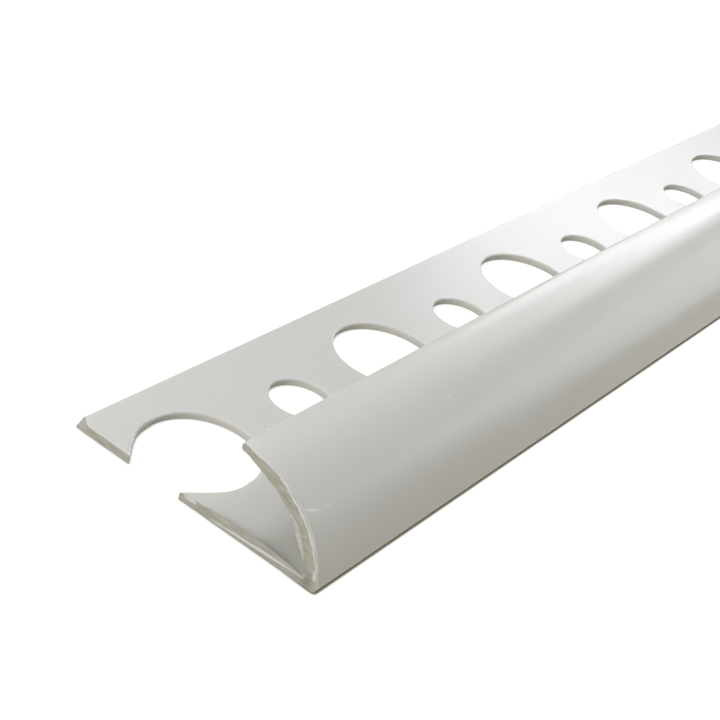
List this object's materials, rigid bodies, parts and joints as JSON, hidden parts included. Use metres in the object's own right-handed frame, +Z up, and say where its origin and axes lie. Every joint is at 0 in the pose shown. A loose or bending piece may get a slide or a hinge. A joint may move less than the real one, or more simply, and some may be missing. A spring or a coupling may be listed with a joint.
{
  "type": "tile edge trim",
  "caption": "White plastic quarter-round tile edge trim with a flat leg of large and small round holes, sawn through the first hole at one end.",
  "frame": {"origin": "middle of the box's underside, on the leg's underside", "axes": "+X across the section towards the round wall, +Y along the length away from the sawn end that shows, +Z up from the leg's underside"},
  "size_m": [0.03, 2.5, 0.0095],
  "materials": {
    "white_plastic": "semi-gloss extruded white plastic"
  },
  "bodies": {
    "root": {"trim_profile": "white_plastic"}
  },
  "joints": []
}
